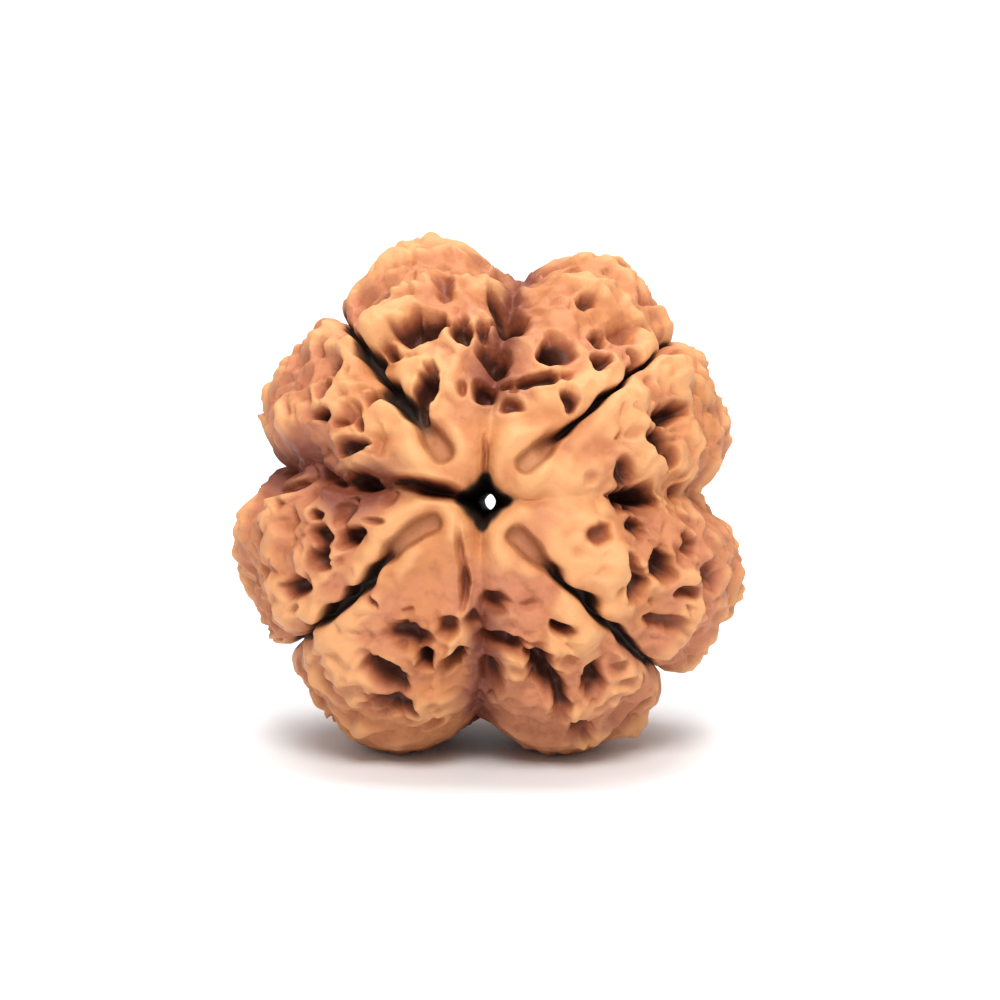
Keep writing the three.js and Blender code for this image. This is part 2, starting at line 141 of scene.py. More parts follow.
@dataclass(frozen=True)
class StrewnPit:
    """A pit that a rule sets out: its centre, the three ways it lies, half sizes and depth."""

    centre: Array
    normal: Array
    long_way: Array
    wide_way: Array
    long: float
    wide: float
    deep: float


FACE_PITS: tuple[Mark, ...] = (
    # Top lobe, left of the top valley.
    Mark(-1.76, 9.37, 0.5, 0.42, 100, 0.55),
    Mark(-4.41, 8.46, 0.5, 0.25, 20, 0.6),
    Mark(-3.12, 9.29, 0.45, 0.15, 70, 0.25),
    Mark(-2.59, 7.33, 0.85, 0.5, 20, 1.2),
    Mark(-0.93, 7.25, 0.5, 0.38, 80, 0.9),
    Mark(-3.88, 6.27, 0.4, 0.22, -45, 0.6),
    Mark(-2.29, 4.6, 0.75, 0.32, 80, 1.3),
    Mark(-0.85, 4.68, 0.28, 0.16, 90, 0.4),
    # Left lobe, above the left valley.
    Mark(-6.23, 5.66, 0.42, 0.28, 45, 0.7),
    Mark(-6.68, 4.68, 0.45, 0.25, 80, 0.6),
    Mark(-6.9, 6.4, 0.35, 0.18, 60, 0.3),
    Mark(-6.9, 3.69, 0.5, 0.25, 0, 0.8),
    Mark(-4.67, 4.22, 0.28, 0.26, 0, 0.6),
    Mark(-5.6, 3.6, 0.5, 0.35, 30, 0.45),
    Mark(-6.08, 3.31, 0.2, 0.15, 0, 0.4),
    Mark(-5.13, 3.31, 0.32, 0.2, 90, 0.5),
    Mark(-5.7, 2.33, 0.65, 0.27, 10, 0.9),
    Mark(-7.74, 1.5, 0.5, 0.22, 90, 0.4),
    Mark(-8.27, 3.92, 0.4, 0.15, 85, 0.2),
    Mark(-4.33, 2.48, 0.6, 0.2, 95, 0.25),
    # Left lobe, below the left valley.
    Mark(-8.87, 0.67, 0.6, 0.25, 32, 0.6),
    Mark(-7.58, 0.97, 0.3, 0.3, 0, 0.3),
    Mark(-7.02, -0.59, 0.27, 0.24, 0, 0.6),
    Mark(-5.77, -0.44, 0.55, 0.33, 65, 0.6),
    Mark(-6.83, -1.5, 0.4, 0.38, 0, 0.8),
    Mark(-6.75, -2.41, 0.5, 0.36, 90, 0.9),
    Mark(-5.58, -1.5, 0.5, 0.36, 30, 0.85),
    Mark(-9.59, -1.72, 0.6, 0.18, 95, 0.5),
    Mark(-7.8, -3.6, 0.5, 0.35, 15, 0.75),
    Mark(-7.2, -3.26, 0.3, 0.15, 120, 0.35),
    Mark(-7.75, -4.45, 0.3, 0.15, 70, 0.35),
    Mark(-4.49, -0.8, 0.4, 0.13, 0, 0.3),
    Mark(-3.99, 0.09, 0.3, 0.25, 0, 0.35),
    # Bottom lobe, left of the bottom valley.
    Mark(-3.12, -4.6, 0.22, 0.14, 0, 0.25),
    Mark(-3.14, -5.68, 0.78, 0.45, -12, 0.85),
    Mark(-2.37, -6.8, 0.42, 0.26, 90, 1.2),
    Mark(-1.28, -7.02, 0.58, 0.3, 50, 0.85),
    Mark(-4.08, -7.28, 0.9, 0.42, -38, 0.95),
    Mark(-3.8, -8.7, 0.88, 0.42, -12, 0.8),
    Mark(-4.64, -4.15, 0.38, 0.13, -50, 0.4),
    Mark(-6.53, -7.63, 0.4, 0.12, -50, 0.25),
    Mark(-1.46, -5.36, 0.45, 0.35, 90, 0.6),
    # Bottom lobe, right of the bottom valley.
    Mark(0.6, -4.26, 0.45, 0.35, 0, 0.65),
    Mark(2.06, -4.26, 0.3, 0.17, 0, 0.3),
    Mark(3.36, -5.19, 0.38, 0.26, 0, 0.8),
    Mark(2.06, -5.55, 0.25, 0.2, 0, 0.2),
    Mark(0.95, -6.02, 0.85, 0.3, -10, 0.8),
    Mark(2.6, -7.15, 0.85, 0.42, -66, 1.3),
    Mark(3.38, -8.25, 0.68, 0.3, -75, 0.85),
    Mark(4.76, -7.5, 0.6, 0.38, 85, 0.9),
    Mark(4.31, -9.8, 0.42, 0.3, 30, 0.65),
    Mark(4.19, -9.24, 0.3, 0.12, -20, 0.25),
    Mark(6.19, -8.31, 0.3, 0.12, 20, 0.3),
    Mark(6.76, -7.75, 0.4, 0.13, 60, 0.35),
    Mark(3.28, -9.04, 0.35, 0.35, 0, 0.35),
    # Right lobe, below the right valley.
    Mark(6.76, -1.1, 0.48, 0.3, -30, 0.75),
    Mark(9.03, -1.75, 0.45, 0.3, -50, 0.6),
    Mark(7.66, -2.72, 0.55, 0.42, 80, 1.0),
    Mark(8.63, -3.77, 0.45, 0.22, 15, 0.6),
    Mark(9.84, -3.12, 0.6, 0.35, 80, 0.6),
    Mark(7.98, -5.07, 0.6, 0.35, 10, 0.6),
    Mark(6.5, -3.45, 0.6, 0.32, 80, 0.8),
    Mark(6.36, -2.64, 0.55, 0.28, -60, 0.55),
    Mark(4.85, -1.3, 0.5, 0.33, 20, 0.55),
    Mark(9.03, -5.64, 0.3, 0.1, 30, 0.25),
    # Right lobe, above the right valley.
    Mark(7.82, 3.77, 0.75, 0.35, 25, 1.0),
    Mark(7.58, 2.41, 0.8, 0.4, -40, 1.1),
    Mark(6.3, 2.86, 0.35, 0.25, 0, 0.3),
    Mark(4.56, 0.97, 0.3, 0.3, 0, 0.15),
    # Top lobe, right of the top valley.
    Mark(3.1, 6.36, 0.62, 0.5, -30, 0.75),
    Mark(2.82, 6.22, 0.36, 0.4, 0, 1.35),
    Mark(4.41, 8.61, 0.38, 0.26, 0, 0.6),
    Mark(4.91, 6.95, 0.3, 0.3, 0, 0.8),
    Mark(4.91, 5.81, 0.32, 0.32, 0, 0.8),
    Mark(5.85, 7.33, 0.5, 0.45, 0, 0.45),
    Mark(4.87, 9.44, 0.35, 0.25, 0, 0.25),
    Mark(4.03, 10.0, 0.38, 0.12, 0, 0.35),
    Mark(6.31, 6.11, 0.4, 0.2, -60, 0.5),
    Mark(6.61, 8.31, 0.35, 0.12, -60, 0.3),
    Mark(1.16, 4.0, 0.42, 0.32, 0, 0.6),
    Mark(2.25, 5.1, 1.15, 0.2, 5, 0.75),
    Mark(1.35, 4.75, 0.22, 0.16, 30, 0.45),
    Mark(3.58, 4.22, 0.45, 0.25, -70, 0.8),
    # The four valleys: creases that run out from the canal's star, and holes.
    Mark(-2.4, 0.58, 1.25, 0.3, -12, 0.9),
    Mark(0.1, 1.9, 0.6, 0.12, 90, 0.25),
    Mark(-0.88, -2.2, 1.0, 0.14, 95, 0.35),
    Mark(-0.75, -3.6, 0.9, 0.17, 88, 0.55),
    Mark(2.4, 0.5, 0.8, 0.45, 10, 0.15),
    Mark(0.0, 7.48, 0.5, 0.22, 90, 0.7),
    Mark(0.04, 6.65, 0.4, 0.3, 90, 0.7),
    Mark(0.05, 4.68, 0.38, 0.36, 0, 1.0),
    Mark(0.42, 9.07, 0.5, 0.2, 110, 0.7),
    Mark(1.23, 8.08, 0.6, 0.5, -40, 1.2),
    Mark(0.7, 8.92, 0.5, 0.25, -50, 0.8),
    Mark(0.63, 6.19, 0.45, 0.42, 90, 0.9),
    Mark(-5.5, 0.9, 0.7, 0.38, -10, 1.2),
    Mark(-6.9, 0.85, 0.5, 0.26, -10, 0.6),
    Mark(-7.75, 0.39, 0.45, 0.4, 0, 0.4),
    Mark(-0.32, -5.13, 0.35, 0.3, 0, 0.6),
    Mark(0.36, -5.96, 0.35, 0.3, 0, 0.6),
    Mark(0.45, -7.85, 0.75, 0.38, 90, 0.7),
    Mark(6.84, 0.2, 0.9, 0.46, 0, 1.4),
    Mark(6.15, 1.2, 0.65, 0.38, 100, 0.7),
    Mark(9.25, 0.59, 0.4, 0.25, 70, 0.5),
)

FACE_KNOBS: tuple[Mark, ...] = (
    Mark(-4.4, 7.0, 0.5, 0.5, 0, 0.25),
    Mark(-2.84, 5.97, 0.5, 0.5, 0, 0.25),
    Mark(-5.39, 6.27, 0.5, 0.5, 0, 0.2),
    Mark(-6.0, 4.6, 0.8, 0.6, 30, 0.2),
    Mark(-1.7, 7.33, 0.5, 0.25, 90, 0.2),
    Mark(5.17, 5.04, 0.9, 0.6, 30, 0.15),
    Mark(8.05, 5.43, 0.6, 0.5, 0, 0.3),
    Mark(6.9, 4.37, 0.6, 0.4, 20, 0.3),
    Mark(7.2, 1.74, 0.8, 0.6, 0, 0.3),
    Mark(5.06, -2.56, 0.9, 0.7, -45, 0.25),
    Mark(-8.35, -4.6, 0.4, 0.4, 0, 0.2),
    Mark(-5.09, -4.75, 0.8, 0.6, 40, 0.25),
    Mark(-1.3, -6.27, 0.35, 0.2, 60, 0.25),
    Mark(1.33, -6.86, 0.8, 0.35, -60, 0.3),
)


def smooth(low: float, high: float, value: Array) -> Array:
    """Rises smoothly from 0 at low to 1 at high."""
    share = np.clip((value - low) / (high - low), 0.0, 1.0)
    return share * share * (3.0 - 2.0 * share)


def mix(low: Array, high: Array, share: Array) -> Array:
    """Goes evenly from low to high as share goes from 0 to 1."""
    return low + (high - low) * share


def draws(seed: int) -> Iterator[float]:
    """A seeded run of numbers from 0 to 1.

    Args:
        seed: where the run starts.

    Yields:
        The numbers, without an end.
    """
    state = seed
    while True:
        state = state * DRAW_FACTOR % DRAW_RANGE
        yield state / DRAW_RANGE


class Waves:
    """Waves in fixed seeded directions, summed over the surface.

    Their lengths go evenly from shortest up by spread, as shares of the set's own length.
    """

    shortest = 0.75
    spread = 0.5

    def __init__(self, kind: WaveSet) -> None:
        """Draws the directions, lengths and phases.

        Args:
            kind: how many waves there are, how long and how high.
        """
        run = draws(kind.seed)
        directions = []
        phases = []
        for _ in range(kind.count):
            up = 2 * next(run) - 1
            around = 2 * math.pi * next(run)
            flat = math.sqrt(1 - up * up)
            pitch = 2 * math.pi / (kind.length * (self.shortest + self.spread * next(run)))
            level = pitch * flat
            directions.append([level * math.cos(around), pitch * up, level * math.sin(around)])
            phases.append(2 * math.pi * next(run))
        self.directions = np.array(directions)
        self.phases = np.array(phases)
        self.each = kind.height / math.sqrt(kind.count / 2)

    def at(self, points: Array) -> Array:
        """Height of the summed waves at each point.

        Args:
            points: the points, one to a row.

        Returns:
            The heights.
        """
        height = np.zeros(len(points))
        for direction, phase in zip(self.directions, self.phases):
            height += self.each * np.sin(points @ direction + phase)
        return height


@dataclass
class Skin:
    """Where points lie on the smooth lobed body, before any relief."""

    point: Array
    normal: Array
    turn: Array
    out: Array
    offset: Array
    share: Array
    seam: Array
    valley: Array
    valley_rim: Array
    polar: Array
    front: Array


class Depth(Enum):
    """What the mesh keeps at each point for its finish to read: how far down or up it is.

    A wall is a seam's side, where its cut is halfway down, and a crest the top of the relief.
    """

    PIT = "pit"
    CRACK = "crack"
    TROUGH = "trough"
    WALL = "wall"
    VALLEY = "valley"
    CANAL = "canal"
    CREST = "crest"


@dataclass
class Relief:
    """Height of the relief at each point, and what the finish reads there."""

    height: Array
    depths: dict[Depth, Array]


@dataclass
class SeedForm:
    """The form of the seed, upright, in millimetres and degrees.

    A pair of radii whose name ends in _from says how far out from the canal's middle a form sets
    in, and where it is full. The pairs seam_closing and crack_opening count from a trough's end.
    """

    half_length: float = 9.4
    canal_radius: float = 0.36
    squareness: float = 2.2
    lean: float = 10.0
    axis: Place = (-0.07, -0.17, 10.55)
    seen_from: float = 2.0

    seams: tuple[Seam, ...] = (
        Seam(41.3, 0, 2.0, 4.6, 10.95, 0.15, 0.44),
        Seam(129, 0, 2.2, 4.4, 10.73, 0.32, 0.5),
        Seam(216.8, -18, 1.9, 5.0, 10.93, 0.26, 0.42),
        Seam(315.9, 0, 1.6, 4.4, 11.0, 0.2, 0.44),
    )
    curl_reach: float = 3.6
    rim_reach: float = 11.0
    crack_deep: float = 1.25
    trough_deep: float = 0.95
    trough_head: float = 0.6
    rim_deep: float = 0.45
    rim_from: Span = (8.4, 10.4)
    seam_steepness: float = 5.0
    seam_closing: Span = (-1.6, 0.2)
    crack_opening: Span = (-1.3, 0.9)
    seam_wander: float = 0.55
    seam_wander_from: Span = (2.5, 5.0)
    seam_ragged: float = 1.3
    seam_ragged_from: Span = (3.0, 5.0)
    seam_thinning: float = 0.7
    seam_thinning_from: Span = (6.0, 10.0)
    notch_deep: float = 0.85
    notch_half: float = 0.5
    notch_power: float = 1.5
    lip_height: float = 0.27
    lip_width: float = 0.5
    lip_at_rim: float = 0.3
    lip_wander: float = 2.5

    valleys: tuple[Valley, ...] = (
        Valley(3, 8.95, 0.15, 0.05),
        Valley(84, 9.5, 0.5, 0.3),
        Valley(170.5, 8.85, 0.9, 0.4),
        Valley(268.5, 9.3, 0.45, 0.3),
    )
    valley_spread: float = 0.2
    valley_power: float = 1.6
    crease_half: float = 0.26
    crease_wander: float = 0.5
    crease_from: Span = (2.5, 5.5)
    sway_from: Span = (2.0, 6.0)
    # Half width of the band along each valley floor where the finish paints shade.
    valley_shade_half: float = 1.1
    swells: tuple[float, ...] = (-0.3, 0.65, 0.65, -0.15, 0.15, 0.8, 0.45, 0.35)

    mouth_radius: float = 0.74
    mouth_point: float = 0.42
    mouth_point_spread: float = 17.0
    mouth_sag: float = 0.8
    mouth_sag_spread: float = 0.35
    canal_edge: Span = (0.0, 0.3)

    pit_rules: tuple[PitRule, ...] = (
        PitRule(620, 4127, 34.0, 0.75, 0.25, (0.34, 0.56), (0.35, 0.9), 0.5),
        PitRule(1700, 2081, 30.0, 0.6, 0.0, (0.14, 0.26), (0.12, 0.3), 0.9),
    )
    spiral_jitter: float = 0.6
    face_edge: float = 76.0
    face_fade: Span = (78.0, 90.0)
    back_bare: float = 20.0
    mark_reach: float = 3.0
    pit_stretch: float = 1.5
    pit_through: float = 1.5
    brim_at: float = 1.5
    brim_width: float = 0.42
    brim_share: float = 0.14
    brim_mean: float = 0.3
    raggedness: float = 3.2
    ragged_from: Span = (2.0, 5.0)
    face_widening: float = 1.12
    face_deepening: float = 1.4
    bowl_reach: float = 1.7
    bowl_share: float = 0.26
    bowl_steepness: float = 3.6
    crest_pits: float = 0.5

    face_warp: float = 0.22
    knobby: float = 0.9
    knobby_from: Span = (2.5, 5.5)
    folded_mean: float = 0.13
    lip_knobby: float = 0.35
    lip_calm: Span = (0.4, 1.5)
    swell_from: Span = (1.2, 3.0)
    fine_on_lips: float = 0.4
    calm_below: float = 0.4
    rough_above: float = 1.4
    swell_waves: Waves = field(default_factory=lambda: Waves(WaveSet(12, 3.4, 0.2, 77)))
    ripple_waves: Waves = field(default_factory=lambda: Waves(WaveSet(14, 2.0, 0.16, 901)))
    fine_waves: Waves = field(default_factory=lambda: Waves(WaveSet(16, 0.7, 0.035, 350)))
    sway_waves: Waves = field(default_factory=lambda: Waves(WaveSet(6, 5.0, 0.4, 59)))
    warp_waves: tuple[Waves, ...] = field(
        default_factory=lambda: tuple(Waves(WaveSet(8, 1.6, 0.17, seed)) for seed in (11, 23, 37))
    )

    def skin(self, half: Array, share: Array, polar: Array, front: Array) -> Skin:
        """Places points on the smooth lobed body.

        Args:
            half: which of the eight half lobes each point is on.
            share: how far each point is from its seam, 0, towards its valley, 1.
            polar: angle from the pole of the point's own face, in radians.
            front: whether the point is on the front face.

        Returns:
            The places, the ways out of the surface, and what the relief needs to know.
        """
        seam = half // 2
        valley = (half + 1) // 2 % LOBES
        neighbour = np.where(half % 2, seam + 1, seam + LOBES - 1) % LOBES
        rims = np.array([s.rim for s in self.seams])
        curls = np.array([s.curl for s in self.seams])
        starts = np.array([s.start for s in self.seams])
        radii = np.array([s.radius for s in self.seams])
        reached = np.maximum(starts[seam], self.rim_reach * np.sin(polar))
        seam_turn = rims[seam] + curls[seam] * np.exp(-((reached / self.curl_reach) ** 2))
        whole_turn = np.where(half == HALF_LOBES - 1, 360, 0)
        valley_turn = np.array([v.turn for v in self.valleys])[valley] + whole_turn
        offset = share * (valley_turn - seam_turn)
        turn = np.radians(seam_turn + offset)
        mouth = self.mouth_at(np.degrees(turn))
        valley_rim = (radii[seam] + radii[neighbour]) / 2
        swell = np.array(self.swells)[half] * np.sin(np.pi * share) ** 2
        rim = mix(radii[seam], valley_rim, share) + swell
        out = mouth + (rim - mouth) * np.sin(polar) ** (2 / self.squareness)
        sag = self.mouth_sag * np.exp(-(out - mouth) / self.mouth_sag_spread)
        forward = self.half_length * np.maximum(0, np.cos(polar)) ** (2 / self.squareness) - sag
        sign = np.where(front, -1.0, 1.0)
        point = np.stack([out * np.cos(turn), sign * forward, out * np.sin(turn)], 1)
        steep = self.squareness - 1
        slope_out = (out / rim) ** steep / rim
        slope_forward = (np.maximum(0, forward) / self.half_length) ** steep / self.half_length
        normal = np.stack([slope_out * np.cos(turn), sign * slope_forward, slope_out * np.sin(turn)], 1)
        normal /= np.linalg.norm(normal, axis=1)[:, None]
        return Skin(point, normal, turn, out, offset, share, seam, valley, valley_rim, polar, front)

    def mouth_at(self, turn: Array) -> Array:
        """Radius of the canal's star-shaped mouth at each turn, in degrees.

        Args:
            turn: the turns.

        Returns:
            The radii.
        """
        radius = np.full(len(turn), self.mouth_radius)
        for valley in self.valleys:
            away = (turn - valley.turn + 180) % 360 - 180
            radius += self.mouth_point * np.exp(-((away / self.mouth_point_spread) ** 2))
        return radius

    def half_of(self, turn: float, polar: float) -> tuple[int, float]:
        """Finds the half lobe that a turn is on.

        Args:
            turn: the turn, in degrees.
            polar: angle from the pole of its face, in radians.

        Returns:
            The half lobe, and the share of the way from its seam to its valley.
        """
        for half in range(HALF_LOBES):
            seam = self.seams[half // 2]
            reached = max(seam.start, self.rim_reach * math.sin(polar))
            seam_turn = seam.rim + seam.curl * math.exp(-((reached / self.curl_reach) ** 2))
            last = half == HALF_LOBES - 1
            valley_turn = self.valleys[(half + 1) // 2 % LOBES].turn + (360 if last else 0)
            low, high = sorted((seam_turn, valley_turn))
            for at in (turn % 360, turn % 360 + 360):
                if low <= at <= high:
                    return half, (at - seam_turn) / (valley_turn - seam_turn)
        raise ValueError(f"no half lobe holds turn {turn}")

    def on_table(self, points: Array) -> Array:
        """Where points of the upright seed come to lie once it leans back on the table."""
        turned = np.array(Matrix.Rotation(math.radians(-self.lean), 3, "X"))
        return points @ turned.T + np.array(self.axis)

    def as_seen(self, points: Array) -> Array:
        """Turns points to how the face is seen, a little from its right, with the mouth at 0.

        Args:
            points: points of the upright seed.

        Returns:
            The turned points.
        """
        turned = np.array(Matrix.Rotation(math.radians(-self.seen_from), 3, "Z"))
        mouth = turned @ np.array([0, -self.half_length, 0])
        return points @ turned.T - mouth

    def spiral(self, rule: PitRule) -> Iterator[StrewnPit]:
        """Sets out pits over the sides, the back and the outer face by a spiral rule.

        Args:
            rule: how many pits there are, how large, and where they keep away from.

        Yields:
            Each pit.
        """
        run = draws(rule.seed)
        spacing = math.degrees(math.sqrt(4 * math.pi / rule.count))
        for k in range(rule.count):
            slip, drift, spin, widen, lengthen, deepen = (next(run) for _ in range(6))
            height = 1 - 2 * (k + 0.5) / rule.count
            from_front = math.degrees(math.acos(height)) + (slip - 0.5) * self.spiral_jitter * spacing
            shift = (drift - 0.5) * self.spiral_jitter * spacing / math.sin(math.radians(from_front))
            turn = k * GOLDEN_TURN + shift
            if not rule.first <= from_front <= 180 - self.back_bare:
                continue
            front = from_front < 90
            polar = math.radians(from_front if front else 180 - from_front)
            half, share = self.half_of(turn, polar)
            at = self.skin(np.array([half]), np.array([share]), np.array([polar]), np.array([front]))
            if abs(math.radians(at.offset[0])) * at.out[0] < rule.bare:
                continue
            filled = from_front < self.face_edge
            if filled and self.beside_mark(self.as_seen(at.point)[0], rule.margin):
                continue
            around = np.array([-math.sin(math.radians(turn)), 0, math.cos(math.radians(turn))])
            along = np.cross(at.normal[0], around)
            along /= np.linalg.norm(along)
            long_way = around * math.cos(spin * math.pi) + along * math.sin(spin * math.pi)
            wide = mix(*rule.wide, widen)
            yield StrewnPit(
                centre=at.point[0],
                normal=at.normal[0],
                long_way=long_way,
                wide_way=np.cross(at.normal[0], long_way),
                long=wide * mix(1.0, self.pit_stretch, lengthen),
                wide=wide,
                deep=mix(*rule.deep, deepen) * (rule.filled if filled else 1.0),
            )

    def beside_mark(self, seen: Array, margin: float) -> bool:
        """Whether a place on the face, as seen, is on or beside one of its own pits."""
        return any(math.hypot(seen[0] - m.right, seen[2] - m.up) < m.long + margin for m in FACE_PITS)

    def bowl(self, q: Array) -> Array:
        """Depth of a pit across its half width, 1 at its middle: a steep core in a soft hollow."""
        hollow = np.exp(-((q / self.bowl_reach) ** 2))
        return mix(np.exp(-(q**self.bowl_steepness)), hollow, self.bowl_share)

    def brim(self, q: Array) -> Array:
        """Height of the rounded brim that stands round a pit, 1 at its crest."""
        return np.exp(-(((q - self.brim_at) / self.brim_width) ** 2))

    def beneath(self, marks: tuple[Mark, ...], at: Array) -> Iterator[tuple[Mark, Array, Array]]:
        """Finds the points on and about each of a face's marks.

        Args:
            marks: the pits or knobs.
            at: the points, as the face is seen.

        Yields:
            Each mark, the points near it, and how many half widths each is from its middle.
        """
        for mark in marks:
            long, wide = self.face_widening * mark.long, self.face_widening * mark.wide
            reach = self.mark_reach * long
            near = np.flatnonzero(
                (np.abs(at[:, 0] - mark.right) < reach) & (np.abs(at[:, 2] - mark.up) < reach)
            )
            cos, sin = math.cos(math.radians(mark.lean)), math.sin(math.radians(mark.lean))
            dx, dz = at[near, 0] - mark.right, at[near, 2] - mark.up
            yield mark, near, np.hypot((dx * cos + dz * sin) / long, (dz * cos - dx * sin) / wide)

    def knobs(self, at: Skin, gently: Array) -> Array:
        """Height of the face's knobs.

        Args:
            at: the places on the smooth body.
            gently: the same places, wandering a little.

        Returns:
            The height at each place.
        """
        total = np.zeros(len(gently))
        for mark, near, q in self.beneath(FACE_KNOBS, self.as_seen(gently)):
            total[near] += self.face_deepening * mark.deep * self.bowl(q)
        return self.shown(at) * total

    def pits(self, at: Skin, warped: Array, gently: Array) -> tuple[Array, Array]:
        """Gathers all the pits, the face's own and those of the spiral rules.

        Args:
            at: the places on the smooth body.
            warped: the same places, wandering, for the spiral's pits.
            gently: the same places, wandering less, for the face's own pits.

        Returns:
            How deep the pits cut at each point, and how high their brims stand.
        """
        cut = np.zeros(len(warped))
        raised = np.zeros(len(warped))
        shown = self.shown(at)
        ragged = self.raggedness * self.fine_waves.at(warped) * smooth(*self.ragged_from, at.out)
        for mark, near, q in self.beneath(FACE_PITS, self.as_seen(gently)):
            q = np.maximum(0, q + ragged[near])
            deep = shown[near] * self.face_deepening * mark.deep
            cut[near] += (deep * self.bowl(q)) ** 3
            raised[near] += (deep * self.brim(q)) ** 3
        for rule in self.pit_rules:
            for pit in self.spiral(rule):
                gap = warped - pit.centre
                near = np.flatnonzero(np.einsum("ij,ij->i", gap, gap) < (self.mark_reach * pit.long) ** 2)
                gap = gap[near]
                flat = np.hypot(gap @ pit.long_way / pit.long, gap @ pit.wide_way / pit.wide)
                q = np.maximum(0, np.hypot(flat, gap @ pit.normal / self.pit_through) + ragged[near])
                cut[near] += (pit.deep * self.bowl(q)) ** 3
                raised[near] += (pit.deep * self.brim(q)) ** 3
        return np.cbrt(cut), self.brim_share * (np.cbrt(raised) - self.brim_mean)

    def shown(self, at: Skin) -> Array:
        """How fully the face's own marks show: all over it, and fading out round its rim."""
        full, gone = np.radians(self.face_fade)
        return np.where(at.front, 1 - smooth(full, gone, at.polar), 0.0)

    def relief(self, at: Skin) -> Relief:
        """Works out the relief over the smooth body, along its normals.

        Args:
            at: the places on the smooth body.

        Returns:
            The height of the relief, and what the finish reads.
        """
        bend = np.stack([waves.at(at.point) for waves in self.warp_waves], 1)
        warped = at.point + bend
        ends = np.array([s.end for s in self.seams])[at.seam]
        starts = np.array([s.start for s in self.seams])[at.seam]
        wander = self.seam_wander * bend[:, 0] * smooth(*self.seam_wander_from, at.out)
        from_crack = np.abs(np.radians(at.offset) * at.out + wander)
        thinned = mix(1.0, self.seam_thinning, smooth(*self.seam_thinning_from, at.out))
        cracks = np.array([s.crack for s in self.seams])[at.seam] * thinned
        troughs = np.array([s.trough for s in self.seams])[at.seam]
        closing, closed = self.seam_closing
        half_width = mix(troughs, cracks, smooth(ends + closing, ends + closed, at.out))
        half_width *= 1 + self.seam_ragged * bend[:, 1] * smooth(*self.seam_ragged_from, at.out)
        from_seam = np.hypot(from_crack, np.minimum(0, at.out - starts - troughs))
        rim = smooth(*self.rim_from, at.out)
        opening, opened = self.crack_opening
        cracked = smooth(ends + opening, ends + opened, at.out)
        head = mix(self.trough_head, 1.0, smooth(starts, ends, at.out))
        deep = mix(self.trough_deep, self.crack_deep, cracked) * head
        cut = np.exp(-((from_seam / half_width) ** self.seam_steepness))
        seam = mix(deep, self.rim_deep, rim) * cut
        notch = rim * self.notch_deep * np.exp(-((from_crack / self.notch_half) ** self.notch_power))
        lip = np.exp(-(((from_seam - half_width - self.lip_width) / self.lip_width) ** 2))
        lip *= self.lip_height * mix(1.0, self.lip_at_rim, rim) * (1 + self.lip_wander * bend[:, 2])

        necks = np.array([v.neck for v in self.valleys])[at.valley]
        floors = np.array([v.radius for v in self.valleys])[at.valley]
        creases = np.array([v.crease for v in self.valleys])[at.valley]
        valley_deep = mix(necks, at.valley_rim - floors, np.sin(at.polar))
        valley = valley_deep * np.exp(-(((1 - at.share) / self.valley_spread) ** self.valley_power))
        valley_turns = np.radians(np.array([v.turn for v in self.valleys]))[at.valley]
        from_valley = ((at.turn - valley_turns + np.pi) % (2 * np.pi) - np.pi) * at.out
        sway = self.sway_waves.at(at.point) * smooth(*self.sway_from, at.out)
        from_valley += sway + self.crease_wander * bend[:, 2]
        along = smooth(*self.crease_from, at.out) * creases
        crease = along * np.exp(-((from_valley / self.crease_half) ** 2))
        # The band along the valley floor where the finish paints shade.
        valley_shade = along * np.exp(-((from_valley / self.valley_shade_half) ** 2))

        gently = at.point + self.face_warp * bend
        pits, brims = self.pits(at, warped, gently)
        raised = self.knobs(at, gently) + brims
        beside = mix(self.lip_knobby, 1.0, smooth(*self.lip_calm, from_seam))
        rough = smooth(*self.knobby_from, at.out) * beside
        waves = self.swell_waves.at(at.point) * smooth(*self.swell_from, at.out)
        folded = np.abs(self.ripple_waves.at(warped))
        waves += rough * self.knobby * (folded - self.folded_mean)
        fine = mix(self.fine_on_lips, 1.0, rough) * self.fine_waves.at(at.point)
        clear = smooth(self.calm_below, self.rough_above, self.on_table(at.point)[:, 2])
        height = lip + fine + clear * (raised + waves - pits) - seam - notch - valley - crease
        from_mouth = at.out - self.mouth_at(np.degrees(at.turn))
        # The finish paints shade from the pit, crack, wall, valley and canal depths, and a partly painted
        # highlight from the crest.
        depths = {
            Depth.PIT: clear * pits,
            Depth.CRACK: cut * cracked,
            Depth.TROUGH: cut * (1 - cracked),
            Depth.WALL: 4 * cut * (1 - cut),
            Depth.VALLEY: valley_shade,
            Depth.CANAL: 1 - smooth(*self.canal_edge, from_mouth),
            Depth.CREST: lip + fine + raised + waves - self.crest_pits * pits,
        }
        return Relief(height, depths)


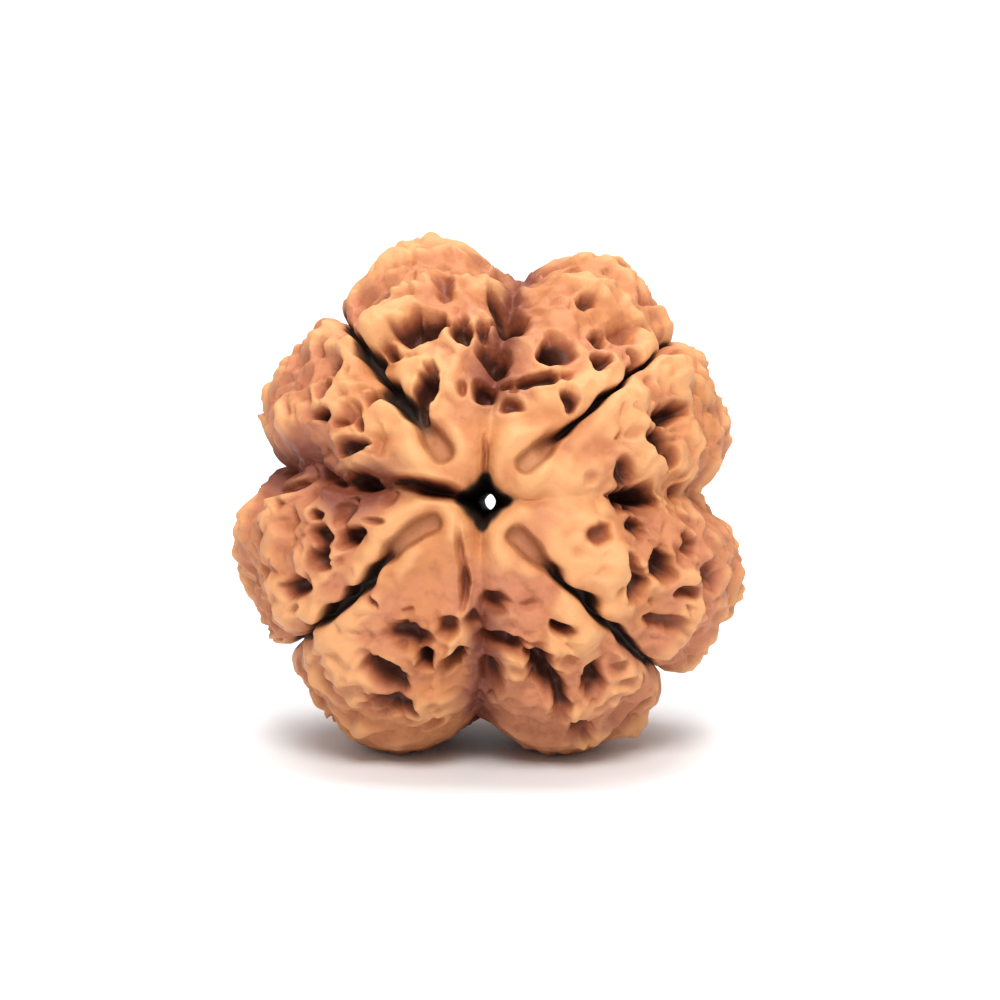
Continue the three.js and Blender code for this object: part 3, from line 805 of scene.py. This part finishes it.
@dataclass
class SeedStone:
    """The seed's mesh: a sheet rolled into a ring, whose vertices are carried to the skin.

    The columns beside a seam are closer together. Each side's lip_share of them lies within
    lip_band millimetres of it, or within lip_band_most of the way to the valley.
    """

    form: SeedForm
    steps_per_half_lobe: int = 80
    half_section_steps: int = 190
    canal_steps: int = 16
    lip_share: float = 0.2
    lip_band: float = 0.75
    lip_band_most: float = 0.34
    inner_reach: float = 1.0
    outer_reach: float = 10.0
    canal_easing: float = 0.55
    weld_gap: float = 0.001 * MM
    triangles: int = 190_000

    def build(self) -> bpy.types.Object:
        """Makes the seed's piece, with its depths kept as attributes.

        Returns:
            The piece, in place on the table.
        """
        mesh = self.sheet()
        around, section = self.grid_places(mesh)
        points, relief = self.carried(around, section)
        mesh.vertices.foreach_set("co", (points * MM).astype(np.float32).ravel())
        for depth, values in relief.depths.items():
            layer = mesh.attributes.new(depth.value, "FLOAT", "POINT")
            layer.data.foreach_set("value", values.astype(np.float32))
        self.weld_borders(mesh, around, section)
        piece = bpy.data.objects.new("seed_skin", mesh)
        bpy.context.scene.collection.objects.link(piece)
        self.thin(piece)
        piece.data.shade_smooth()
        return piece

    @property
    def steps_round(self) -> int:
        """Steps round the whole seed."""
        return HALF_LOBES * self.steps_per_half_lobe

    @property
    def steps_of_section(self) -> int:
        """Steps round the closed section: over the face, through the canal and over the back."""
        return 2 * self.half_section_steps

    def sheet(self) -> bpy.types.Mesh:
        """Lays out a flat sheet of cells, one column for each step round and one row for each up.

        Returns:
            The sheet, 1 metre square.
        """
        bm = bmesh.new()
        bmesh.ops.create_grid(
            bm,
            x_segments=self.steps_round,
            y_segments=self.steps_of_section,
            size=0.5,
            matrix=Matrix.Translation((0.5, 0.5, 0)),
        )
        mesh = bpy.data.meshes.new("seed_skin")
        bm.to_mesh(mesh)
        bm.free()
        return mesh

    def grid_places(self, mesh: bpy.types.Mesh) -> tuple[Array, Array]:
        """Reads which step round the seed, and which step of its section, each vertex is.

        Args:
            mesh: the flat sheet.

        Returns:
            The steps round, and the steps of the section.
        """
        places = np.zeros(len(mesh.vertices) * 3, np.float32)
        mesh.vertices.foreach_get("co", places)
        across, up, _ = places.reshape(-1, 3).T
        around = np.rint(across * self.steps_round).astype(int)
        return around, np.rint(up * self.steps_of_section).astype(int)

    def weld_borders(self, mesh: bpy.types.Mesh, around: Array, section: Array) -> None:
        """Welds the rolled sheet's borders, which now lie on each other.

        Args:
            mesh: the rolled sheet.
            around: each vertex's step round the canal.
            section: each vertex's step round the closed section.
        """
        on_border = (around % self.steps_round == 0) | (section % self.steps_of_section == 0)
        bm = bmesh.new()
        bm.from_mesh(mesh)
        bm.verts.ensure_lookup_table()
        borders = [bm.verts[index] for index in np.flatnonzero(on_border)]
        bmesh.ops.remove_doubles(bm, verts=borders, dist=self.weld_gap)
        bm.to_mesh(mesh)
        bm.free()

    def carried(self, around: Array, section: Array) -> tuple[Array, Relief]:
        """Carries each vertex of the ring to its place on the leaning seed.

        Args:
            around: each vertex's step round the canal.
            section: each vertex's step round the closed section, from the rim over the face.

        Returns:
            The places in millimetres, and the relief at each.
        """
        around = around % self.steps_round
        section = section % self.steps_of_section
        half = around // self.steps_per_half_lobe
        part = around % self.steps_per_half_lobe / self.steps_per_half_lobe
        near = np.where(half % 2, part, 1 - part)
        front = section < self.half_section_steps
        inward = np.minimum(section, self.steps_of_section - section) / self.half_section_steps
        outside = 1 - self.canal_steps / self.half_section_steps
        polar = np.maximum(0, 1 - inward / outside) * np.pi / 2
        out = self.inner_reach + self.outer_reach * np.sin(polar)
        span = self.form.skin(half, np.ones(len(half)), polar, front).offset
        lip_at = np.minimum(self.lip_band_most, self.lip_band / out / np.abs(np.radians(span)))
        share = np.where(
            near < self.lip_share,
            near / self.lip_share * lip_at,
            mix(lip_at, 1.0, (near - self.lip_share) / (1 - self.lip_share)),
        )
        at = self.form.skin(half, share, polar, front)
        relief = self.form.relief(at)
        skin = at.point + at.normal * relief.height[:, None]
        into = np.clip((inward - outside) / (1 - outside), 0, 1)
        radius = np.hypot(skin[:, 0], skin[:, 2])
        narrowed = mix(radius, self.form.canal_radius, smooth(0, self.canal_easing, into)) / radius
        canal = skin * np.stack([narrowed, 1 - into, narrowed], 1)
        placed = self.form.on_table(np.where(inward[:, None] > outside, canal, skin))
        placed[:, 2] = np.maximum(0, placed[:, 2])
        return placed, relief

    def thin(self, piece: bpy.types.Object) -> None:
        """Keeps the triangles where the form bends, and joins them where it is even.

        Args:
            piece: the seed's piece, with its full mesh.
        """
        joiner = piece.modifiers.new("thin", "DECIMATE")
        joiner.ratio = self.triangles / (2 * len(piece.data.polygons))
        bpy.context.view_layer.update()
        seen = piece.evaluated_get(bpy.context.evaluated_depsgraph_get())
        thinned = bpy.data.meshes.new_from_object(seen)
        piece.modifiers.clear()
        full = piece.data
        piece.data = thinned
        bpy.data.meshes.remove(full)
        thinned.name = "seed_skin"


@dataclass(frozen=True)
class Tint:
    """A colour that comes in as one of the mesh's depths goes from low to high, up to a share."""

    depth: Depth
    low: float
    high: float
    top: float
    colour: Colour


@dataclass(frozen=True)
class Grain:
    """A noise: its scale to the metre, and its detail."""

    scale: float
    detail: float


@dataclass
class Shading:
    """Builds up one material's nodes."""

    tree: bpy.types.NodeTree

    def noise(self, grain: Grain) -> Socket:
        """Noise over the piece's own place.

        Args:
            grain: the noise's scale and detail.

        Returns:
            The noise, from 0 to 1.
        """
        place = self.tree.nodes.new("ShaderNodeTexCoord").outputs["Object"]
        node = self.tree.nodes.new("ShaderNodeTexNoise")
        node.inputs["Scale"].default_value = grain.scale
        node.inputs["Detail"].default_value = grain.detail
        self.tree.links.new(place, node.inputs["Vector"])
        return node.outputs["Fac"]

    def ranged(self, value: Socket, low: float, high: float, top: float = 1.0) -> Socket:
        """Rises from 0 at low to top at high.

        Args:
            value: what it rises with.
            low: the value that it rises from.
            high: the value that it rises to.
            top: how far it rises.

        Returns:
            The risen share.
        """
        node = self.tree.nodes.new("ShaderNodeMapRange")
        node.interpolation_type = "SMOOTHSTEP"
        node.inputs["From Min"].default_value = low
        node.inputs["From Max"].default_value = high
        node.inputs["To Max"].default_value = top
        self.tree.links.new(value, node.inputs["Value"])
        return node.outputs["Result"]

    def depth(self, kind: Depth, low: float, high: float, top: float = 1.0) -> Socket:
        """Rises with one of the mesh's own depths, in millimetres.

        Args:
            kind: which depth.
            low: the depth that it rises from.
            high: the depth that it rises to.
            top: how far it rises.

        Returns:
            The risen share.
        """
        node = self.tree.nodes.new("ShaderNodeAttribute")
        node.attribute_name = kind.value
        return self.ranged(node.outputs["Fac"], low, high, top)

    def product(self, first: Socket, second: Socket) -> Socket:
        """Multiplies two values.

        Args:
            first: one value.
            second: the other value.

        Returns:
            The product.
        """
        node = self.tree.nodes.new("ShaderNodeMath")
        node.operation = "MULTIPLY"
        self.tree.links.new(first, node.inputs[0])
        self.tree.links.new(second, node.inputs[1])
        return node.outputs["Value"]

    def blend(self, share: Socket, first: Socket | Colour, second: Colour) -> Socket:
        """Goes from the first colour to the second by a share.

        Args:
            share: how far it goes.
            first: the colour at share 0.
            second: the colour at share 1.

        Returns:
            The blended colour.
        """
        node = self.tree.nodes.new("ShaderNodeMix")
        node.data_type = "RGBA"
        self.tree.links.new(share, node.inputs[0])
        for socket, colour in zip((node.inputs[6], node.inputs[7]), (first, second)):
            if isinstance(colour, tuple):
                socket.default_value = (*colour, 1.0)
            else:
                self.tree.links.new(colour, socket)
        return node.outputs[2]

    def tinted(self, colour: Socket, tint: Tint) -> Socket:
        """Brings a tint in over a colour."""
        return self.blend(self.depth(tint.depth, tint.low, tint.high, tint.top), colour, tint.colour)


@dataclass(frozen=True)
class StoneFinish:
    """Dry, matt, woody stone: tan on its ridges, with painted shade red-brown in its pits and near black
    in its depths.
    """

    tan: Colour = (0.475, 0.18, 0.064)
    # Sand: the crests' colour. It is partly a painted highlight where light falls on the ridges, partly
    # their own paler tone.
    sand: Colour = (0.625, 0.3, 0.124)
    rose: Colour = (0.45, 0.165, 0.078)
    russet: Colour = (0.28, 0.072, 0.028)
    # Umber: painted shade for the pits, the cracks and the seams' walls.
    shade_umber: Colour = (0.06, 0.016, 0.009)
    # Plum: painted shade for the valleys.
    plum: Colour = (0.19, 0.05, 0.028)
    bark: Colour = (0.36, 0.148, 0.074)
    # Near black: painted shade for the cracks and the canal.
    shade_black: Colour = (0.03, 0.016, 0.011)
    broad: Grain = Grain(200.0, 3.0)
    mottle: Grain = Grain(1300.0, 4.0)
    fine: Grain = Grain(2600.0, 5.0)
    rose_range: Span = (0.4, 0.62)
    mottle_range: Span = (0.5, 0.7)
    mottle_share: float = 0.45
    valley_shade_range: Span = (0.0, 0.3)
    valley_shade_patches: Span = (0.2, 0.48)
    # Lightens the crests: partly a painted highlight, partly the ridges' own paler tone.
    crest_tone_and_highlight: Tint = Tint(Depth.CREST, -0.08, 0.3, 0.85, sand)
    depth_tints: tuple[Tint, ...] = (
        # Painted shade in the pits: red-brown, then near black at their cores.
        Tint(Depth.PIT, 0.2, 0.62, 0.85, russet),
        Tint(Depth.PIT, 0.48, 1.0, 0.94, shade_umber),
        Tint(Depth.TROUGH, 0.3, 1.0, 0.5, bark),
        # Painted shade on the seams' walls.
        Tint(Depth.WALL, 0.2, 1.0, 0.3, shade_umber),
        # Painted shade in the cracks, darkest at their cores.
        Tint(Depth.CRACK, 0.1, 0.5, 0.9, shade_umber),
        Tint(Depth.CRACK, 0.4, 0.85, 0.95, shade_black),
        # Painted shade inside the canal.
        Tint(Depth.CANAL, 0.2, 1.0, 0.98, shade_black),
    )
    roughness: float = 0.6
    specular: float = 0.35
    grain_depth: float = 0.07 * MM

    def material(self) -> bpy.types.Material:
        """Builds the stone's material from noise and the depths that the mesh carries.

        Returns:
            The material.
        """
        material = bpy.data.materials.new("seed_stone")
        material.use_nodes = True
        shading = Shading(material.node_tree)
        shader = material.node_tree.nodes["Principled BSDF"]
        shader.inputs["Roughness"].default_value = self.roughness
        shader.inputs["Specular IOR Level"].default_value = self.specular
        material.node_tree.links.new(self.colour(shading), shader.inputs["Base Color"])
        bump = material.node_tree.nodes.new("ShaderNodeBump")
        bump.inputs["Strength"].default_value = 1.0
        bump.inputs["Distance"].default_value = self.grain_depth
        material.node_tree.links.new(shading.noise(self.fine), bump.inputs["Height"])
        material.node_tree.links.new(bump.outputs["Normal"], shader.inputs["Normal"])
        return material

    def colour(self, shading: Shading) -> Socket:
        """Works the stone's colour from its own tones, with a partly painted highlight on its ridges and
        painted shade down into its depths.

        Args:
            shading: the material's nodes.

        Returns:
            The colour.
        """
        broad = shading.noise(self.broad)
        mottle = shading.noise(self.mottle)
        colour = shading.blend(shading.ranged(broad, *self.rose_range), self.tan, self.rose)
        mottled = shading.ranged(mottle, *self.mottle_range, self.mottle_share)
        colour = shading.blend(mottled, colour, self.russet)
        colour = shading.tinted(colour, self.crest_tone_and_highlight)
        # Painted shade along the valley floors, laid in broad patches.
        valley = shading.depth(Depth.VALLEY, *self.valley_shade_range)
        valley_shade = shading.product(valley, shading.ranged(broad, *self.valley_shade_patches))
        colour = shading.blend(valley_shade, colour, self.plum)
        for tint in self.depth_tints:
            colour = shading.tinted(colour, tint)
        return colour


@dataclass(frozen=True)
class FloorFinish:
    """Plain pale floor, faintly cool."""

    pale: Colour = (0.84, 0.865, 0.89)
    roughness: float = 0.5

    def material(self) -> bpy.types.Material:
        """Builds the floor's material.

        Returns:
            The material.
        """
        material = bpy.data.materials.new("floor_white")
        material.use_nodes = True
        shader = material.node_tree.nodes["Principled BSDF"]
        shader.inputs["Base Color"].default_value = (*self.pale, 1.0)
        shader.inputs["Roughness"].default_value = self.roughness
        return material


@dataclass(frozen=True)
class Lamp:
    """A square soft light aimed at the seed, its place and size in millimetres."""

    name: str
    place: Place
    size: float
    watts: float
    colour: Colour


@dataclass
class Studio:
    """A plain pale floor, soft lights, and a camera at the photograph's angle."""

    image_width: float = 43.0 * MM
    distance: float = 220.0 * MM
    azimuth: float = 2.0
    elevation: float = 10.0
    aim: Place = (0.34 * MM, 0.0, 10.6 * MM)
    sensor: float = 36.0
    nearest: float = 10.0 * MM
    farthest: float = 10.0
    floor_half: float = 2.5
    floor_finish: FloorFinish = FloorFinish()
    room_colour: Colour = (0.98, 0.99, 1.0)
    room_strength: float = 0.56
    lamps: tuple[Lamp, ...] = (
        Lamp("overhead", (40, 260, 1200), 1000, 17.0, (1.0, 0.99, 0.97)),
        Lamp("front", (15, -180, 190), 90, 0.6, (1.0, 0.97, 0.93)),
    )

    def build(self) -> None:
        """Sets up the whole studio."""
        self.camera()
        self.floor()
        self.room()
        for lamp in self.lamps:
            self.hang(lamp)

    def floor(self) -> None:
        """Lays the floor."""
        bm = bmesh.new()
        bmesh.ops.create_grid(bm, x_segments=1, y_segments=1, size=self.floor_half)
        mesh = bpy.data.meshes.new("floor")
        bm.to_mesh(mesh)
        bm.free()
        floor = bpy.data.objects.new("floor", mesh)
        mesh.materials.append(self.floor_finish.material())
        bpy.context.scene.collection.objects.link(floor)

    def room(self) -> None:
        """Lights the room evenly."""
        world = bpy.data.worlds.new("room")
        world.use_nodes = True
        background = world.node_tree.nodes["Background"]
        background.inputs["Color"].default_value = (*self.room_colour, 1.0)
        background.inputs["Strength"].default_value = self.room_strength
        bpy.context.scene.world = world

    def hang(self, lamp: Lamp) -> None:
        """Hangs one soft light, aimed at the seed.

        Args:
            lamp: where the light hangs, and how large and bright it is.
        """
        data = bpy.data.lights.new(lamp.name, "AREA")
        data.size = lamp.size * MM
        data.energy = lamp.watts
        data.color = lamp.colour
        hung = bpy.data.objects.new(lamp.name, data)
        hung.location = Vector(lamp.place) * MM
        hung.rotation_euler = (Vector(self.aim) - hung.location).to_track_quat("-Z", "Y").to_euler()
        bpy.context.scene.collection.objects.link(hung)

    def camera(self) -> None:
        """Stands the camera where the photograph was taken from."""
        data = bpy.data.cameras.new("camera")
        data.sensor_width = self.sensor
        data.lens = self.sensor * self.distance / self.image_width
        data.clip_start = self.nearest
        data.clip_end = self.farthest
        turn, rise = math.radians(self.azimuth), math.radians(self.elevation)
        level = math.cos(rise)
        back = Vector((math.sin(turn) * level, -math.cos(turn) * level, math.sin(rise)))
        camera = bpy.data.objects.new("camera", data)
        camera.location = Vector(self.aim) + back * self.distance
        camera.rotation_euler = (-back).to_track_quat("-Z", "Y").to_euler()
        bpy.context.scene.collection.objects.link(camera)
        bpy.context.scene.camera = camera


def main() -> None:
    """Builds the studio and the seed."""
    logging.basicConfig(level=logging.INFO)
    bpy.context.scene.view_settings.view_transform = "Standard"
    Studio().build()
    seed = SeedStone(SeedForm()).build()
    seed.data.materials.append(StoneFinish().material())
    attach(seed, "root")
    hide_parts("rudraksha_seed")
    LOG.info("%s: %d triangles", seed.name, len(seed.data.polygons))


if __name__ == "__main__":
    main()
